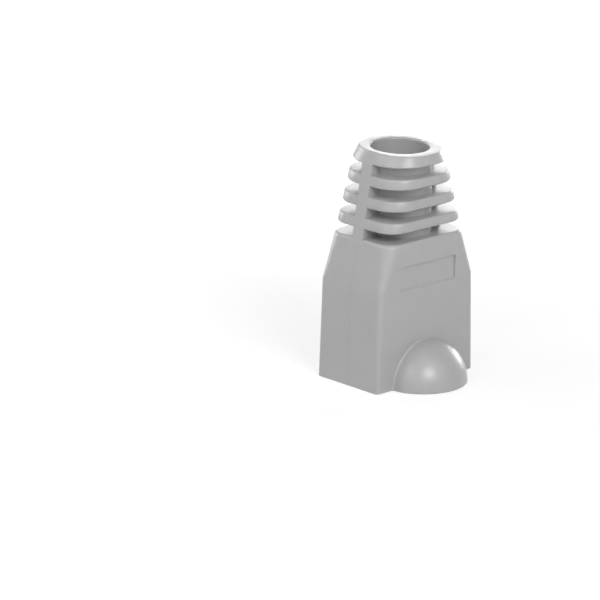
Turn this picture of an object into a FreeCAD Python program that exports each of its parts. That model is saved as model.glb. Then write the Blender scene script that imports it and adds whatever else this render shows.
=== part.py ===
"""Moulded strain relief boot for an 8-position modular plug.

One soft PVC moulding. +Z is the cable axis, pointing the way the cable leaves.
The origin is the centre of the plug socket in the mouth plane. The hood over
the plug's latch and the label recess are on the -Y side, the plain back is +Y.
All lengths are in millimetres.
"""
import FreeCAD, Part
import math
import os
import Sketcher

DOC = FreeCAD.newDocument("boot")

# Driving dimensions, one alias a row.
SHEET = DOC.addObject("Spreadsheet::Sheet", "par")
DIMENSIONS = [
    ("mouth_z", 0.0),
    ("mouth_halfwidth", 7.2),
    ("mouth_halfthick", 4.575),
    ("mouth_corner", 0.45),
    ("bend_z", 10.9),
    ("bend_halfwidth", 6.96),
    ("bend_halfthick", 4.575),
    ("bend_corner", 0.65),
    ("shoulder_z", 15.5),
    ("shoulder_halfwidth", 5.92),
    ("shoulder_halfthick", 4.66),
    ("shoulder_corner", 1.8),
    ("collar_z", 23.7),
    ("collar_halfwidth", 4.611),
    ("collar_halfthick", 4.747),
    ("collar_corner", 3.87),
    ("top_z", 25.4),
    ("top_halfwidth", 3.88),
    ("top_halfthick", 4.305),
    ("top_corner", 3.86),
    ("end_z", 25.03),
    ("end_slant", 0.035),
    ("end_reach", 6.0),
    ("seam_height", 0.015),
    ("seam_width", 0.18),
    ("seam_start", 0.2),
    ("slot_base", 15.9),
    ("slot_height", 1.1),
    ("slot_pitch", 2.25),
    ("slot_count", 4),
    ("sleeve_radius", 3.5),
    ("web_width", 1.5),
    ("web_offset", 0.2),
    ("web_reach", 7.6),
    ("bore_radius", 3.1),
    ("passage_top_z", 14.6),
    ("socket_halfwidth", 5.85),
    ("socket_halfthick", 3.35),
    ("socket_offset", 0.1),
    ("socket_corner", 0.5),
    ("socket_depth", 9.1),
    ("passage_halfwidth", 4.4),
    ("passage_halfthick", 3.1),
    ("passage_corner", 1.0),
    ("crown_flat", 0.1),
    ("hood_root", 4.575),
    ("hood_radius", 4.83),
    ("hood_rise", 4.27),
    ("hood_side", 3.6),
    ("hollow_root", 3.45),
    ("hollow_radius", 4.25),
    ("hollow_rise", 4.2),
    ("hollow_side", 3.4),
    ("label_halfwidth", 4.15),
    ("label_halfheight", 1.3),
    ("label_z", 12.05),
    ("label_floor", 4.36),
    ("label_depth", 1.0),
    ("hood_fillet", 0.18),
    ("rim_break", 0.08),
    ("rib_break", 0.15),
    ("shoulder_break", 0.22),
    ("bore_break", 0.15),
    ("end_break", 0.08),
    ("label_corner", 0.25),
]
VALUE = {}
for row, (alias, number) in enumerate(DIMENSIONS, start=1):
    SHEET.set("A%d" % row, alias)
    SHEET.set("B%d" % row, repr(number))
    SHEET.setAlias("B%d" % row, alias)
    VALUE[alias] = number
DOC.recompute()

BODY = DOC.addObject("PartDesign::Body", "boot")
BODY.Label = "boot"
EPS = 1e-3


def origin_feature(role):
    """The body's own origin plane or axis with this role."""
    for feature in BODY.Origin.OriginFeatures:
        if feature.Role == role:
            return feature
    raise RuntimeError("no origin feature " + role)


def new_sketch(name, role, offset):
    """Sketch on an origin plane, moved along the plane's normal by an alias."""
    sketch = BODY.newObject("Sketcher::SketchObject", name)
    sketch.AttachmentSupport = [(origin_feature(role), "")]
    sketch.MapMode = "FlatFace"
    if offset:
        sketch.setExpression("AttachmentOffset.Base.z", "par." + offset)
    return sketch


def named(sketch, constraint, name, expression):
    """Add a driving constraint, name it and bind it to the spreadsheet."""
    index = sketch.addConstraint(constraint)
    sketch.renameConstraint(index, name)
    sketch.setExpression("Constraints." + name, expression)
    return index


def rounded_rectangle(sketch, half_x, half_y, radius, centre_y=None):
    """Rounded rectangle driven by three aliases, centred on the cable axis."""
    a = VALUE[half_x]
    b = VALUE[half_y]
    r = VALUE[radius]
    shift = -VALUE[centre_y] if centre_y else 0.0
    top = b + shift
    low = -b + shift
    vec = FreeCAD.Vector
    up = vec(0, 0, 1)
    line = Part.LineSegment
    corners = [
        (a - r, top - r, 0.0),
        (a - r, low + r, 270.0),
        (-a + r, low + r, 180.0),
        (-a + r, top - r, 90.0),
    ]
    geometry = [
        line(vec(-a + r, top, 0), vec(a - r, top, 0)),
        line(vec(a, top - r, 0), vec(a, low + r, 0)),
        line(vec(a - r, low, 0), vec(-a + r, low, 0)),
        line(vec(-a, low + r, 0), vec(-a, top - r, 0)),
    ]
    for x, y, start in corners:
        circle = Part.Circle(vec(x, y, 0), up, r)
        first = math.radians(start)
        geometry.append(Part.ArcOfCircle(circle, first, first + math.pi / 2))
    sketch.addGeometry(geometry, False)
    joins = [(0, 2, 4, 2), (1, 1, 4, 1), (1, 2, 5, 2), (2, 1, 5, 1),
             (2, 2, 6, 2), (3, 1, 6, 1), (3, 2, 7, 2), (0, 1, 7, 1)]
    for first, end, arc, arc_end in joins:
        sketch.addConstraint(Sketcher.Constraint("Tangent", first, end, arc, arc_end))
    for index in (0, 2):
        sketch.addConstraint(Sketcher.Constraint("Horizontal", index))
    for index in (1, 3):
        sketch.addConstraint(Sketcher.Constraint("Vertical", index))
    for arc in (5, 6, 7):
        sketch.addConstraint(Sketcher.Constraint("Equal", 4, arc))
    named(sketch, Sketcher.Constraint("DistanceX", -1, 1, 1, 1, a), "right", "par." + half_x)
    named(sketch, Sketcher.Constraint("DistanceX", 3, 1, -1, 1, a), "left", "par." + half_x)
    tail = " - par." + centre_y if centre_y else ""
    head = " + par." + centre_y if centre_y else ""
    named(sketch, Sketcher.Constraint("DistanceY", -1, 1, 0, 1, top), "back",
          "par." + half_y + tail)
    named(sketch, Sketcher.Constraint("DistanceY", 2, 1, -1, 1, -low), "front",
          "par." + half_y + head)
    named(sketch, Sketcher.Constraint("Radius", 4, r), "corner", "par." + radius)


def polygon(sketch, points):
    """Closed polygon held by two bound distances a corner.

    Each point is (x, y, x expression, y expression); the expressions give the
    sizes of x and y, and a zero coordinate lies on the matching axis.
    """
    vec = FreeCAD.Vector
    count = len(points)
    for i in range(count):
        here = points[i]
        there = points[(i + 1) % count]
        sketch.addGeometry(Part.LineSegment(vec(here[0], here[1], 0), vec(there[0], there[1], 0)))
    for i in range(count):
        sketch.addConstraint(Sketcher.Constraint("Coincident", i, 2, (i + 1) % count, 1))
    for i, (x, y, x_text, y_text) in enumerate(points):
        pairs = [("DistanceX", x, x_text, "px%d" % i), ("DistanceY", y, y_text, "py%d" % i)]
        for kind, number, text, name in pairs:
            if number == 0:
                on_axis = -2 if kind == "DistanceX" else -1
                sketch.addConstraint(Sketcher.Constraint("PointOnObject", i, 1, on_axis))
            elif number > 0:
                named(sketch, Sketcher.Constraint(kind, -1, 1, i, 1, number), name, text)
            else:
                named(sketch, Sketcher.Constraint(kind, i, 1, -1, 1, -number), name, text)


def dome_profile(sketch, root, radius, rise, side):
    """Half section of a dome: a side arc tangent to a crown arc, axis along Y.

    root is how far in front of the cable axis the dome stands, radius its
    footprint, rise its height and side the radius of the arc at its foot.
    A small flat lets the profile meet its own axis squarely.
    """
    foot = VALUE[root]
    wide = VALUE[radius]
    tall = VALUE[rise]
    small = VALUE[side]
    flat = VALUE["crown_flat"]
    crown = (wide ** 2 + tall ** 2 - 2 * wide * small) / (2 * (tall - small))
    turn = math.atan2(crown - tall, wide - small)
    tilt = math.asin(flat / crown)
    low = -foot - tall + crown * (1 - math.cos(tilt))
    vec = FreeCAD.Vector
    up = vec(0, 0, 1)
    side_arc = Part.Circle(vec(wide - small, -foot, 0), up, small)
    crown_arc = Part.Circle(vec(0, -foot - tall + crown, 0), up, crown)
    sketch.addGeometry(Part.LineSegment(vec(0, -foot, 0), vec(wide, -foot, 0)))
    sketch.addGeometry(Part.ArcOfCircle(side_arc, -turn, 0.0))
    sketch.addGeometry(Part.ArcOfCircle(crown_arc, -math.pi / 2 + tilt, -turn))
    sketch.addGeometry(Part.LineSegment(vec(flat, low, 0), vec(0, low, 0)))
    sketch.addGeometry(Part.LineSegment(vec(0, low, 0), vec(0, -foot, 0)))
    sketch.addConstraint(Sketcher.Constraint("Coincident", 0, 2, 1, 2))
    sketch.addConstraint(Sketcher.Constraint("Tangent", 1, 1, 2, 2))
    sketch.addConstraint(Sketcher.Constraint("Coincident", 2, 1, 3, 1))
    sketch.addConstraint(Sketcher.Constraint("Coincident", 3, 2, 4, 1))
    sketch.addConstraint(Sketcher.Constraint("Coincident", 4, 2, 0, 1))
    sketch.addConstraint(Sketcher.Constraint("PointOnObject", 0, 1, -2))
    sketch.addConstraint(Sketcher.Constraint("Horizontal", 0))
    sketch.addConstraint(Sketcher.Constraint("Horizontal", 3))
    sketch.addConstraint(Sketcher.Constraint("Vertical", 4))
    sketch.addConstraint(Sketcher.Constraint("PointOnObject", 1, 3, 0))
    sketch.addConstraint(Sketcher.Constraint("PointOnObject", 2, 3, -2))
    named(sketch, Sketcher.Constraint("DistanceY", 0, 1, -1, 1, foot), "foot", "par." + root)
    named(sketch, Sketcher.Constraint("DistanceX", -1, 1, 0, 2, wide), "wide", "par." + radius)
    named(sketch, Sketcher.Constraint("DistanceY", 4, 1, 4, 2, -foot - low), "tall", "par." + rise)
    named(sketch, Sketcher.Constraint("Radius", 1, small), "side", "par." + side)
    named(sketch, Sketcher.Constraint("DistanceX", 3, 2, 3, 1, flat), "flat", "par.crown_flat")


def feature(kind, name):
    """New PartDesign feature at the tip of the body."""
    return BODY.newObject("PartDesign::" + kind, name)


def loft(name, kind, first, second):
    """Ruled loft between two section sketches."""
    made = feature(kind, name)
    made.Profile = first
    made.Sections = [second]
    made.Ruled = True
    first.Visibility = False
    second.Visibility = False
    return made


def pocket(name, sketch, length, reverse):
    """Pocket of a bound length; a plain pocket cuts against the sketch normal."""
    made = feature("Pocket", name)
    made.Profile = sketch
    made.Reversed = reverse
    made.setExpression("Length", length)
    return made


def volume_step(made, sign, before):
    """Recompute and make sure the last feature really added or removed stock."""
    DOC.recompute()
    after = made.Shape.Volume
    if sign * (after - before) <= 0.01:
        raise RuntimeError(made.Name + " changed nothing")
    print("%-16s volume %9.3f -> %9.3f mm3" % (made.Name, before, after))
    return after


# Outer envelope: a straight-sided grip, a tapered shoulder, a drafted neck, and an end
# ring that leans in more than the rest of the neck.
LEVELS = ["mouth", "bend", "shoulder", "collar", "top"]
SECTIONS = {}
for level in LEVELS:
    SECTIONS[level] = new_sketch("section_" + level, "XY_Plane", level + "_z")
    rounded_rectangle(SECTIONS[level], level + "_halfwidth", level + "_halfthick", level + "_corner")
DOC.recompute()
volume = 0.0
for lower, upper, name in (("mouth", "bend", "grip"), ("bend", "shoulder", "taper"),
                           ("shoulder", "collar", "neck"), ("collar", "top", "end_ring")):
    solid = loft(name, "AdditiveLoft", SECTIONS[lower], SECTIONS[upper])
    volume = volume_step(solid, 1, volume)


def edges_where(shape, test):
    """Names of the edges whose sampled points all pass the test."""
    names = []
    for index, edge in enumerate(shape.Edges, start=1):
        if edge.Degenerated or edge.Length < 0.01:
            continue
        points = edge.discretize(5)
        if all(test(p) for p in points):
            names.append("Edge%d" % index)
    return names


def dress(kind, name, base, edge_names, size):
    """Fillet or chamfer the named edges of the feature before."""
    made = feature(kind, name)
    made.Base = (base, edge_names)
    made.setExpression("Radius" if kind == "Fillet" else "Size", "par." + size)
    return made


def at_level(z, test=None):
    """Edge test: the whole edge lies at height z and passes the second test."""
    return lambda p: abs(p.z - z) < EPS and (test is None or test(p))


# Hood over the plug's latch: half a dome standing on the front face.
hood_sketch = new_sketch("hood_profile", "XY_Plane", None)
dome_profile(hood_sketch, "hood_root", "hood_radius", "hood_rise", "hood_side")
hood = feature("Revolution", "hood")
hood.Profile = hood_sketch
hood.ReferenceAxis = (hood_sketch, ["V_Axis"])
hood.Angle = 180
hood.Reversed = True
volume = volume_step(hood, 1, volume)

# The hood grows out of the front face with a small concave fillet.
root_y = -VALUE["hood_root"]
root_edges = edges_where(hood.Shape, lambda p: abs(p.y - root_y) < 0.03 and p.z > -EPS
                         and math.hypot(p.x, p.z) < VALUE["hood_radius"] + 0.1
                         and math.hypot(p.x, p.z) > VALUE["hood_radius"] - 0.1)
hood_root = dress("Fillet", "hood_root", hood, root_edges, "hood_fillet")
volume = volume_step(hood_root, 1, volume)

# The cable end is cut at a slight slant that rises towards the back.
end_sketch = new_sketch("end_outline", "YZ_Plane", None)
reach = VALUE["end_reach"]
slope = VALUE["end_slant"] * reach
middle_z = VALUE["end_z"]
polygon(end_sketch, [
    (-reach, middle_z - slope, "par.end_reach", "par.end_z - par.end_slant * par.end_reach"),
    (reach, middle_z + slope, "par.end_reach", "par.end_z + par.end_slant * par.end_reach"),
    (reach, middle_z + reach, "par.end_reach", "par.end_z + par.end_reach"),
    (-reach, middle_z + reach, "par.end_reach", "par.end_z + par.end_reach"),
])
end_cut = pocket("end_cut", end_sketch, "2 * par.end_reach", False)
end_cut.Midplane = True
volume = volume_step(end_cut, -1, volume)


def on_end(p):
    """The point lies in the slanted plane of the cable end."""
    return abs(p.z - VALUE["end_z"] - VALUE["end_slant"] * p.y) < EPS


# The mouth rim and the cable end are dressed while their outlines are still whole.
rim_edges = edges_where(end_cut.Shape, at_level(VALUE["mouth_z"]))
rim = dress("Chamfer", "rim", end_cut, rim_edges, "rim_break")
volume = volume_step(rim, -1, volume)
crown_edges = edges_where(rim.Shape, on_end)
crown = dress("Chamfer", "cable_end", rim, crown_edges, "end_break")
volume = volume_step(crown, -1, volume)

# One slot of the neck, cut round a thin sleeve and two side webs, then repeated.
WEB_TOP = VALUE["web_offset"] + VALUE["web_width"] / 2
WEB_LOW = VALUE["web_width"] / 2 - VALUE["web_offset"]
FRAME_X = 9.0
FRAME_Y = 7.0
vector = FreeCAD.Vector


def frame_outline(sketch, half_x, half_y):
    """Plain rectangle round the origin, well outside the neck."""
    corners = [(half_x, half_y), (-half_x, half_y), (-half_x, -half_y), (half_x, -half_y)]
    for i in range(4):
        x0, y0 = corners[i]
        x1, y1 = corners[(i + 1) % 4]
        sketch.addGeometry(Part.LineSegment(vector(x0, y0, 0), vector(x1, y1, 0)))
    for i in range(4):
        sketch.addConstraint(Sketcher.Constraint("Coincident", i, 2, (i + 1) % 4, 1))
        sketch.addConstraint(Sketcher.Constraint("Horizontal" if i % 2 == 0 else "Vertical", i))
    sketch.addConstraint(Sketcher.Constraint("Symmetric", 0, 1, 2, 1, -1, 1))
    sketch.addConstraint(Sketcher.Constraint("DistanceX", 0, 2, 0, 1, 2 * half_x))
    sketch.addConstraint(Sketcher.Constraint("DistanceY", 3, 1, 3, 2, 2 * half_y))


def core_outline(sketch):
    """Sleeve circle with a web on each side: what the slot leaves standing."""
    radius = VALUE["sleeve_radius"]
    far = VALUE["web_reach"]
    near_top = math.sqrt(radius ** 2 - WEB_TOP ** 2)
    near_low = math.sqrt(radius ** 2 - WEB_LOW ** 2)
    turn_top = math.atan2(WEB_TOP, near_top)
    turn_low = math.atan2(WEB_LOW, near_low)
    circle = Part.Circle(vector(0, 0, 0), vector(0, 0, 1), radius)
    left = [(-near_top, WEB_TOP), (-far, WEB_TOP), (-far, -WEB_LOW), (-near_low, -WEB_LOW)]
    right = [(near_low, -WEB_LOW), (far, -WEB_LOW), (far, WEB_TOP), (near_top, WEB_TOP)]
    sketch.addGeometry(Part.ArcOfCircle(circle, turn_top, math.pi - turn_top))
    for i in range(3):
        sketch.addGeometry(Part.LineSegment(vector(*left[i], 0), vector(*left[i + 1], 0)))
    sketch.addGeometry(Part.ArcOfCircle(circle, math.pi + turn_low, 2 * math.pi - turn_low))
    for i in range(3):
        sketch.addGeometry(Part.LineSegment(vector(*right[i], 0), vector(*right[i + 1], 0)))
    for i in range(8):
        sketch.addConstraint(Sketcher.Constraint("Coincident", 4 + i, 2, 4 + (i + 1) % 8, 1))
    for index in (5, 7, 9, 11):
        sketch.addConstraint(Sketcher.Constraint("Horizontal", index))
    for index in (6, 10):
        sketch.addConstraint(Sketcher.Constraint("Vertical", index))
    for index in (4, 8):
        sketch.addConstraint(Sketcher.Constraint("Coincident", index, 3, -1, 1))
    sketch.addConstraint(Sketcher.Constraint("Equal", 4, 8))
    named(sketch, Sketcher.Constraint("Radius", 4, radius), "sleeve", "par.sleeve_radius")
    named(sketch, Sketcher.Constraint("DistanceX", -1, 1, 10, 1, far), "reach_a", "par.web_reach")
    named(sketch, Sketcher.Constraint("DistanceX", 6, 1, -1, 1, far), "reach_b", "par.web_reach")
    for line, end, name in ((5, 2, "top_a"), (11, 1, "top_b")):
        named(sketch, Sketcher.Constraint("DistanceY", -1, 1, line, end, WEB_TOP), name,
              "par.web_width / 2 + par.web_offset")
    for line, end, name in ((7, 1, "low_a"), (9, 2, "low_b")):
        named(sketch, Sketcher.Constraint("DistanceY", line, end, -1, 1, WEB_LOW), name,
              "par.web_width / 2 - par.web_offset")


slot_sketch = new_sketch("slot_outline", "XY_Plane", "slot_base")
frame_outline(slot_sketch, FRAME_X, FRAME_Y)
core_outline(slot_sketch)
slot = pocket("slot", slot_sketch, "par.slot_height", True)
volume = volume_step(slot, -1, volume)
slots = feature("LinearPattern", "slots")
slots.Originals = [slot]
slots.Direction = (origin_feature("Z_Axis"), [""])
slots.setExpression("Length", "par.slot_pitch * (par.slot_count - 1)")
slots.setExpression("Occurrences", "par.slot_count")
BODY.Tip = slots
volume = volume_step(slots, -1, volume)

# Every rib edge is eased; the side webs keep their sharp moulded corners.


def outside(p):
    """Clear of the sleeve and of the webs' side faces."""
    return math.hypot(p.x, p.y) > VALUE["sleeve_radius"] + 0.2


def rib_edges(shape, z):
    """Outer edges of the ribs at height z, without the webs' own edges."""
    kept = []
    for name in edges_where(shape, at_level(z, outside)):
        edge = shape.getElement(name)
        middle = edge.valueAt((edge.FirstParameter + edge.LastParameter) / 2)
        if abs(middle.y - WEB_TOP) > EPS and abs(middle.y + WEB_LOW) > EPS:
            kept.append(name)
    return kept


base = slots
shoulder_edges = rib_edges(base.Shape, VALUE["slot_base"])
base = dress("Chamfer", "shoulder_edge", base, shoulder_edges, "shoulder_break")
volume = volume_step(base, -1, volume)
edges = []
for index in range(VALUE["slot_count"]):
    floor_z = VALUE["slot_base"] + index * VALUE["slot_pitch"]
    levels = [floor_z + VALUE["slot_height"]]
    if index:
        levels.append(floor_z)
    for level_z in levels:
        edges += rib_edges(base.Shape, level_z)
base = dress("Chamfer", "rib_edges", base, edges, "rib_break")
volume = volume_step(base, -1, volume)

# Parting line of the mould: a low bead up both sides of the grip and the taper.
seam_sketch = new_sketch("seam_outline", "XZ_Plane", None)
SEAM_LEVELS = [("mouth", "seam_start"), ("bend", "bend_z"), ("shoulder", "shoulder_z")]
outline = []
for side, levels in ((1, SEAM_LEVELS), (-1, SEAM_LEVELS[::-1])):
    for level, height in levels:
        reach = VALUE[level + "_halfwidth"] + VALUE["seam_height"]
        outline.append((side * reach, VALUE[height],
                        "par." + level + "_halfwidth + par.seam_height", "par." + height))
polygon(seam_sketch, outline)
seam = feature("Pad", "seam")
seam.Profile = seam_sketch
seam.Midplane = True
seam.setExpression("Length", "par.seam_width")
volume = volume_step(seam, 1, volume)

# Plug socket, then the hollow of the hood, the cable passage and the cable bore.
socket_sketch = new_sketch("socket_outline", "XY_Plane", None)
rounded_rectangle(socket_sketch, "socket_halfwidth", "socket_halfthick", "socket_corner",
                  "socket_offset")
socket = pocket("socket", socket_sketch, "par.socket_depth", True)
volume = volume_step(socket, -1, volume)

hollow_sketch = new_sketch("hollow_profile", "XY_Plane", None)
hollow_sketch.AttachmentOffset = FreeCAD.Placement(
    vector(0, 0, 0), FreeCAD.Rotation(vector(0, 1, 0), 90))
dome_profile(hollow_sketch, "hollow_root", "hollow_radius", "hollow_rise", "hollow_side")
hollow = feature("Groove", "hollow")
hollow.Profile = hollow_sketch
hollow.ReferenceAxis = (hollow_sketch, ["V_Axis"])
hollow.Angle = 360
volume = volume_step(hollow, -1, volume)

passage_sketch = new_sketch("passage_outline", "XY_Plane", "socket_depth")
rounded_rectangle(passage_sketch, "passage_halfwidth", "passage_halfthick", "passage_corner")
passage = pocket("passage", passage_sketch, "par.passage_top_z - par.socket_depth", True)
volume = volume_step(passage, -1, volume)

bore_sketch = new_sketch("bore_outline", "XY_Plane", "top_z")
bore_sketch.addGeometry(Part.Circle(vector(0, 0, 0), vector(0, 0, 1), VALUE["bore_radius"]))
bore_sketch.addConstraint(Sketcher.Constraint("Coincident", 0, 3, -1, 1))
named(bore_sketch, Sketcher.Constraint("Radius", 0, VALUE["bore_radius"]), "bore",
      "par.bore_radius")
bore = pocket("bore", bore_sketch, "par.top_z - par.passage_top_z", False)
volume = volume_step(bore, -1, volume)

# Bare label recess across the top of the front face.
label_sketch = new_sketch("label_outline", "XZ_Plane", "label_floor")
label_sketch.setExpression("AttachmentOffset.Base.y", "par.label_z")
rounded_rectangle(label_sketch, "label_halfwidth", "label_halfheight", "label_corner")
label = pocket("label", label_sketch, "par.label_depth", True)
volume = volume_step(label, -1, volume)

# The bore's outer edge is eased.
exit_edges = edges_where(label.Shape, lambda p: on_end(p)
                         and math.hypot(p.x, p.y) < VALUE["bore_radius"] + 0.01)
bore_edge = dress("Chamfer", "bore_edge", label, exit_edges, "bore_break")
volume = volume_step(bore_edge, -1, volume)

DOC.recompute()
for item in DOC.Objects:
    if any(word in item.State for word in ("Invalid", "Error")):
        raise RuntimeError(item.Name + " failed: " + str(item.State))
shape = BODY.Shape
if shape.isNull() or not shape.isValid() or len(shape.Solids) != 1:
    raise RuntimeError("the boot is not one valid solid")
print("box", shape.BoundBox, "solids", len(shape.Solids), "faces", len(shape.Faces))
os.makedirs("parts", exist_ok=True)
shape.exportStep("parts/boot.step")
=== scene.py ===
# %% [markdown]
# A strain relief boot is one soft PVC moulding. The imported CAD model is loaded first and
# acts as a fixed frame: every size below comes from its box, and nothing moves it.

# %% Load the frame
import bmesh
import bpy
import math
import numpy as np
from mathutils import Matrix, Vector


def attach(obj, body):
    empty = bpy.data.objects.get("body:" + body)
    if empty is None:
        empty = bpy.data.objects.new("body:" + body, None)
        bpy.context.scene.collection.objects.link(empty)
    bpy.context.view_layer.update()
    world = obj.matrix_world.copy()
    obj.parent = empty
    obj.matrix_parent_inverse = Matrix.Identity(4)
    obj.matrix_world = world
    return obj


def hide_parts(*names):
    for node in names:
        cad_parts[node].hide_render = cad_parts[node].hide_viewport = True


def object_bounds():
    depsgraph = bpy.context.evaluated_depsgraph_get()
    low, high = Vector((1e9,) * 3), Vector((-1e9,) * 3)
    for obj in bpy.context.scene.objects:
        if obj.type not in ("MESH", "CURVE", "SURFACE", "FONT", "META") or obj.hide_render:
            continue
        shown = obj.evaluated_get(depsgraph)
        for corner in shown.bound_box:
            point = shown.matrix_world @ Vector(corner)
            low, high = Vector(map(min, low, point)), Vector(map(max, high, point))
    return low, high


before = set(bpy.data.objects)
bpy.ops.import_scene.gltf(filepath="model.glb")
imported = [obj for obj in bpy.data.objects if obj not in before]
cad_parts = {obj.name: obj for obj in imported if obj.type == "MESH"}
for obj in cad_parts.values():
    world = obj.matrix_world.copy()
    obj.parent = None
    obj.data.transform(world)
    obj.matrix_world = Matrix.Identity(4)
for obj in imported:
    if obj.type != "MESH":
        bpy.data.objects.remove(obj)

CAD_LOW, CAD_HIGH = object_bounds()
MM = 0.001
LOW = np.array(CAD_LOW) / MM
HIGH = np.array(CAD_HIGH) / MM
print("boot box in mm", LOW.round(3), HIGH.round(3))

# %% [markdown]
# A flat recess on the front is the place for a label. Its lower wall is sloped here, as a
# mould's draft leaves it, so that it takes light from above and fades into the face. Moving
# the corners of the rim is enough, because the faces round it stay flat as they follow.

# %% Draft of the label recess (sizes in mm)
LABEL_SPAN = np.array([(-4.2, -4.8, 10.7), (4.2, -4.5, 13.4)])
LABEL_LOW = 10.75
LABEL_ARC = 0.25
LABEL_DRAFT = 0.16


def draft_label(work):
    """Slope the lower wall: its rim drops by draft * (share of the corner arc passed)."""
    spots = np.array([vert.co for vert in work.verts]) / MM
    rim = np.all((spots > LABEL_SPAN[0]) & (spots < LABEL_SPAN[1]), axis=1)
    low = np.clip((LABEL_LOW + LABEL_ARC - spots[:, 2]) / LABEL_ARC, 0, 1)
    drop = LABEL_DRAFT * low * rim
    for vert, fall in zip(work.verts, drop * MM):
        vert.co.z -= fall
    print("label rim corners drafted", int((drop > 0).sum()))


# %% [markdown]
# The CAD mesh is loose triangles, so its doubled corners are merged in a copy, and the CAD
# mesh itself stays as it is. One level cut each side of every bend of the body keeps the
# soft shading of the bend narrow, as a mould's own small radius does. Remodelling the body
# would give the same form with more risk, because the CAD already holds every true size.

# %% The boot's own visual mesh
MERGE = 0.0004 * MM
BENDS = (10.9, 15.5)
BEND_REACH = 0.35


def merged_copy(source, name):
    """Copy of a CAD node with doubled corners merged and level cuts near its bends."""
    mesh = source.data.copy()
    mesh.name = name
    work = bmesh.new()
    work.from_mesh(mesh)
    bmesh.ops.remove_doubles(work, verts=work.verts, dist=MERGE)
    bmesh.ops.dissolve_degenerate(work, dist=MERGE, edges=work.edges)
    draft_label(work)
    for bend in BENDS:
        for height in (bend - BEND_REACH, bend + BEND_REACH):
            whole = work.verts[:] + work.edges[:] + work.faces[:]
            bmesh.ops.bisect_plane(work, geom=whole, dist=MERGE, plane_co=(0, 0, height * MM),
                                   plane_no=(0, 0, 1))
    bmesh.ops.triangulate(work, faces=work.faces)
    work.to_mesh(mesh)
    work.free()
    piece = bpy.data.objects.new(name, mesh)
    bpy.context.scene.collection.objects.link(piece)
    return piece


# %% [markdown]
# Soft edges come from the normals. Each corner of a triangle takes the area-weighted mean
# normal of the triangles round that corner that turn by less than the crease angle from it,
# so flats stay flat, eased edges roll over like small radii, and true edges stay crisp.
# A sliver has no reliable normal of its own and borrows the one across its longest side.

# %% Measures of the triangles


def face_frames(points, tris):
    """Area, unit normal, longest side index and height over it of every triangle."""
    sides = points[np.roll(tris, -1, axis=1)] - points[tris]
    cross = np.cross(sides[:, 0], sides[:, 1])
    area = np.linalg.norm(cross, axis=1) / 2
    normal = cross / np.maximum(2 * area, 1e-30)[:, None]
    lengths = np.linalg.norm(sides, axis=2)
    longest = lengths.argmax(axis=1)
    return area, normal, longest, 2 * area / lengths.max(axis=1)


def across_longest(tris, longest):
    """Index of the triangle on the other side of each triangle's longest side."""
    row = np.arange(len(tris))
    pairs = np.sort(np.stack((tris, np.roll(tris, -1, axis=1)), axis=2), axis=2)
    keys = pairs[..., 0].astype(np.int64) * (tris.max() + 1) + pairs[..., 1]
    order = np.argsort(keys.ravel(), kind="stable")
    sorted_keys = keys.ravel()[order]
    owner = order // 3
    mine = keys[row, longest]
    first = np.searchsorted(sorted_keys, mine, "left")
    last = np.searchsorted(sorted_keys, mine, "right") - 1
    return np.where(owner[first] == row, owner[last], owner[first])


# %% Soft corner normals
CREASE = math.radians(52)
SLIVER = 0.004 * MM
MEND_PASSES = 4


def soften(piece, crease, sliver):
    """Set corner normals: n = unit(sum of A_j n_j) over neighbours j with n_i.n_j > cos(crease)."""
    mesh = piece.data
    points = np.empty(len(mesh.vertices) * 3)
    mesh.vertices.foreach_get("co", points)
    points = points.reshape(-1, 3)
    tris = np.empty(len(mesh.polygons) * 3, int)
    mesh.polygons.foreach_get("vertices", tris)
    tris = tris.reshape(-1, 3)
    area, normal, longest, height = face_frames(points, tris)
    thin = height < sliver
    over = across_longest(tris, longest)
    for _ in range(MEND_PASSES):
        normal[thin] = normal[over[thin]]
    corner_vertex = tris.ravel()
    corner_face = np.repeat(np.arange(len(tris)), 3)
    order = np.argsort(corner_vertex, kind="stable")
    counts = np.bincount(corner_vertex, minlength=len(points))
    starts = np.concatenate(([0], np.cumsum(counts)[:-1]))
    reps = counts[corner_vertex]
    here = np.repeat(np.arange(len(corner_vertex)), reps)
    step = np.arange(reps.sum()) - np.repeat(np.cumsum(reps) - reps, reps)
    there = order[starts[corner_vertex[here]] + step]
    own, other = corner_face[here], corner_face[there]
    near = np.einsum("ij,ij->i", normal[own], normal[other]) > math.cos(crease)
    weight = (area[other] * near)[:, None] * normal[other]
    total = np.stack([np.bincount(here, weight[:, k], len(corner_vertex)) for k in range(3)],
                     axis=1)
    total += 1e-12 * normal[corner_face]
    total /= np.linalg.norm(total, axis=1)[:, None]
    mesh.polygons.foreach_set("use_smooth", np.ones(len(mesh.polygons), bool))
    mesh.normals_split_custom_set(total.tolist())
    print(piece.name, len(tris), "triangles,", int(thin.sum()), "slivers mended")


# %% [markdown]
# The finished moulding takes the place of the CAD node boot, which is hidden. It rides on the
# root, because the boot has no moving part, and its slot is the one soft plastic.

# %% The boot moulding
boot = merged_copy(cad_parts["boot"], "boot_moulding")
soften(boot, CREASE, SLIVER)
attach(boot, "root")
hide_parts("boot")
print("boot", len(boot.data.vertices), "corners", len(boot.data.polygons), "faces")

# %% [markdown]
# Colours are written as sRGB hex, the way a colour chart gives them, and one function
# turns them to the linear values that the shader mixes with.

# %% Colour and node helpers


def linear(code):
    """sRGB hex to linear RGBA: c/12.92 near black, else ((c + 0.055)/1.055)^2.4."""
    parts = np.array([int(code[i:i + 2], 16) for i in (0, 2, 4)]) / 255.0
    light = np.where(parts <= 0.04045, parts / 12.92, ((parts + 0.055) / 1.055) ** 2.4)
    return (*light.tolist(), 1.0)


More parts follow.
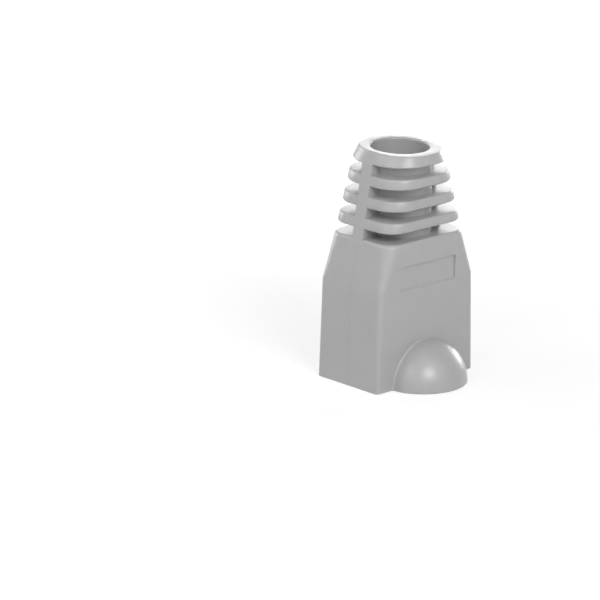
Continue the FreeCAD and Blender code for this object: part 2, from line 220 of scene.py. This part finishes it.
def node(tree, kind, settings=None, **inputs):
    """Add a node, set its properties, then give each input a value or a link."""
    made = tree.nodes.new("ShaderNode" + kind)
    for key, value in (settings or {}).items():
        setattr(made, key, value)
    for key, value in inputs.items():
        socket = made.inputs[int(key[1:])] if key[1:].isdigit() else made.inputs[key.replace("_", " ")]
        if isinstance(value, bpy.types.NodeSocket):
            tree.links.new(value, socket)
        else:
            socket.default_value = value
    return made


def new_material(name):
    """Empty node material with its output node."""
    made = bpy.data.materials.new(name)
    made.use_nodes = True
    made.node_tree.nodes.clear()
    return made, made.node_tree


# %% [markdown]
# The boot is plasticised PVC, injection moulded in grey. It is soft and slightly waxy:
# a broad, dull highlight, a faint cloudiness where the plasticiser and pigment are mixed,
# and a fine satin grain from the steel of the mould. Thick walls shrink a little unevenly as
# they cool, which leaves a very shallow wave. Light goes a fraction of a millimetre in and
# out again, so a little subsurface light rounds off the sharpest lines. The real grain is
# about 0.03 mm and too fine to show, so it is drawn at 0.10 mm.

# %% Moulded soft PVC
PVC_GREY = "A8A8A8"
PVC_PALE = "AEAEAE"
PVC_IOR = 1.53
PVC_ROUGH = (0.29, 0.34)
CLOUD_MM = 1.6
CLOUD_CORE = (0.3, 0.7)
GRAIN_MM, GRAIN_DEEP_MM = 0.10, 0.0012
WAVE_MM, WAVE_DEEP_MM = 3.2, 0.013
GLOW_THROUGH = 0.15
GLOW_DEEP_MM = 0.3


def per_metre(size_mm):
    """Noise scale whose cells are this many millimetres across."""
    return 1.0 / (size_mm * MM)


pvc, tree = new_material("moulded_soft_pvc")
place = node(tree, "TexCoord").outputs["Object"]
cloud = node(tree, "TexNoise", Vector=place, Scale=per_metre(CLOUD_MM), Detail=3.0, Roughness=0.55)
grain = node(tree, "TexNoise", Vector=place, Scale=per_metre(GRAIN_MM), Detail=2.0, Roughness=0.5)
wave = node(tree, "TexNoise", Vector=place, Scale=per_metre(WAVE_MM), Detail=1.0, Roughness=0.4)
tint = node(tree, "Mix", {"data_type": "RGBA"}, _0=cloud.outputs["Fac"], _6=linear(PVC_GREY),
            _7=linear(PVC_PALE))
sheen = node(tree, "MapRange", Value=cloud.outputs["Fac"], _1=CLOUD_CORE[0], _2=CLOUD_CORE[1],
             _3=PVC_ROUGH[0], _4=PVC_ROUGH[1])
ripple = node(tree, "Bump", Height=wave.outputs["Fac"], Strength=1.0,
              Distance=WAVE_DEEP_MM * MM)
satin = node(tree, "Bump", Height=grain.outputs["Fac"], Normal=ripple.outputs["Normal"],
             Strength=1.0, Distance=GRAIN_DEEP_MM * MM)
skin = node(tree, "BsdfPrincipled", Base_Color=tint.outputs[2], Roughness=sheen.outputs[0],
            IOR=PVC_IOR, Normal=satin.outputs["Normal"])
skin.inputs["Subsurface Weight"].default_value = GLOW_THROUGH
skin.inputs["Subsurface Radius"].default_value = (1.0, 1.0, 1.0)
skin.inputs["Subsurface Scale"].default_value = GLOW_DEEP_MM * MM
node(tree, "OutputMaterial", Surface=skin.outputs["BSDF"])
boot.data.materials.clear()
boot.data.materials.append(pvc)
print("finish", pvc.name, "roughness", PVC_ROUGH)

# %% [markdown]
# A white studio sweep: the floor is the table that the boot stands on. The world is white
# where the camera and glossy rays see it, and much dimmer as a light. The floor adds a glow
# to a weak share of real paper there. Close to the boot the sum is only just white, so the
# soft contact shadow shows, and further out the glow grows and hides the edge of the sheet.

# %% Floor
FLOOR_HALF = 400 * MM
FLOOR_GAP = 0.02 * MM
PAPER = "F4F4F4"
PAPER_SHARE = "A8A8A8"
PAPER_GLOW = (0.69, 0.93)
GLOW_SPAN_MM = (20, 140)


def flat_floor(name, half, height):
    """Square sheet at one height, centred on the cable axis."""
    grid = np.array([(-1, -1), (1, -1), (1, 1), (-1, 1)]) * half
    points = np.column_stack((grid, np.full(4, height)))
    mesh = bpy.data.meshes.new(name)
    mesh.from_pydata(points.tolist(), [], [(0, 1, 2, 3)])
    made = bpy.data.objects.new(name, mesh)
    bpy.context.scene.collection.objects.link(made)
    return made


def seen_ray(tree):
    """1 for rays that show a surface: camera, glossy and transmitted ones."""
    rays = node(tree, "LightPath").outputs
    direct = node(tree, "Math", {"operation": "MAXIMUM"}, _0=rays["Is Camera Ray"],
                  _1=rays["Is Glossy Ray"])
    every = node(tree, "Math", {"operation": "MAXIMUM"}, _0=direct.outputs[0],
                 _1=rays["Is Transmission Ray"])
    return every.outputs[0]


floor = flat_floor("studio_floor", FLOOR_HALF, CAD_LOW.z - FLOOR_GAP)
paper, tree = new_material("white_studio_paper")
matt = node(tree, "BsdfDiffuse", Color=linear(PAPER))
share = node(tree, "BsdfDiffuse", Color=linear(PAPER_SHARE))
spot = node(tree, "TexCoord").outputs["Object"]
reach = node(tree, "VectorMath", {"operation": "LENGTH"}, _0=spot).outputs["Value"]
rise = node(tree, "MapRange", Value=reach, _1=GLOW_SPAN_MM[0] * MM, _2=GLOW_SPAN_MM[1] * MM,
            _3=PAPER_GLOW[0], _4=PAPER_GLOW[1])
glow = node(tree, "Emission", Color=linear("FFFFFF"), Strength=rise.outputs[0])
shown = node(tree, "AddShader", _0=share.outputs[0], _1=glow.outputs[0])
mixed = node(tree, "MixShader", _0=seen_ray(tree), _1=matt.outputs[0], _2=shown.outputs[0])
node(tree, "OutputMaterial", Surface=mixed.outputs[0])
floor.data.materials.append(paper)
print("floor", floor.name, "half width", FLOOR_HALF / MM, "mm")

# %% World
WORLD_LIGHT = 0.06
world = bpy.data.worlds.new("studio")
bpy.context.scene.world = world
world.use_nodes = True
tree = world.node_tree
tree.nodes.clear()
level = node(tree, "MapRange", Value=seen_ray(tree), _3=WORLD_LIGHT, _4=1.0)
sky = node(tree, "Background", Color=linear("FFFFFF"), Strength=level.outputs[0])
node(tree, "OutputWorld", Surface=sky.outputs[0])

# %% [markdown]
# Product light from softboxes on one sphere round the boot. A small key box high in front
# leaves the round highlight on the hood, fill boxes light the faces about evenly, and low
# boxes behind graze the ledges and the cable end, which mirror them at a shallow angle.

# %% Softboxes
MIDDLE = Vector((0, 0, 12)) * MM
REACH = 300 * MM
BOXES = [
    ("key_box", -20, 30, 125, 130, 0.46),
    ("front_right_box", 20, 35, 150, 150, 0.05),
    ("front_left_box", -45, 12, 150, 150, 0.03),
    ("left_box", -75, 34, 150, 150, 0.16),
    ("right_box", 97, 8, 100, 100, 0.23),
    ("back_right_box", 125, 12, 150, 150, 0.21),
    ("back_box", -170, 12, 150, 150, 0.30),
    ("back_left_box", -125, 45, 150, 150, 0.17),
    ("top_box", -20, 70, 150, 150, 0.08),
]


def softbox(name, azimuth, elevation, wide_mm, high_mm, watts):
    """Lamp panel facing the boot: azimuth 0 is in front of the hood and 90 is +X."""
    turn, rise = math.radians(azimuth), math.radians(elevation)
    away = Vector((math.sin(turn) * math.cos(rise), -math.cos(turn) * math.cos(rise),
                   math.sin(rise)))
    lamp = bpy.data.lights.new(name, "AREA")
    lamp.shape = "RECTANGLE"
    lamp.size = wide_mm * MM
    lamp.size_y = high_mm * MM
    lamp.energy = watts
    made = bpy.data.objects.new(name, lamp)
    made.location = MIDDLE + away * REACH
    made.rotation_euler = away.to_track_quat("Z", "Y").to_euler()
    bpy.context.scene.collection.objects.link(made)


for box in BOXES:
    softbox(*box)
print("lamps", len(BOXES), "total watts", round(sum(box[5] for box in BOXES), 2))

# %% [markdown]
# The camera stands well back, left of the hood and a little above the boot.

# %% Camera
EYE_MM = Vector((-262.57, -261.29, 119.2))
AIM_MM = Vector((10.62, 26.13, 0.0))
ROLL = 0.013
LENS = 217.24

lens = bpy.data.cameras.new("camera")
lens.sensor_width = 36.0
lens.lens = LENS
lens.clip_start = 10 * MM
lens.clip_end = 5.0
camera = bpy.data.objects.new("camera", lens)
forward = (AIM_MM - EYE_MM).normalized()
right = forward.cross(Vector((0, 0, 1))).normalized()
up = right.cross(forward)
turned_right = math.cos(ROLL) * right + math.sin(ROLL) * up
turned_up = -math.sin(ROLL) * right + math.cos(ROLL) * up
pose = Matrix((turned_right, turned_up, -forward)).transposed().to_4x4()
pose.translation = EYE_MM * MM
camera.matrix_world = pose
bpy.context.scene.collection.objects.link(camera)
bpy.context.scene.camera = camera
bpy.context.scene.view_settings.view_transform = "Standard"
print("camera", round((AIM_MM - EYE_MM).length), "mm from its aim point")
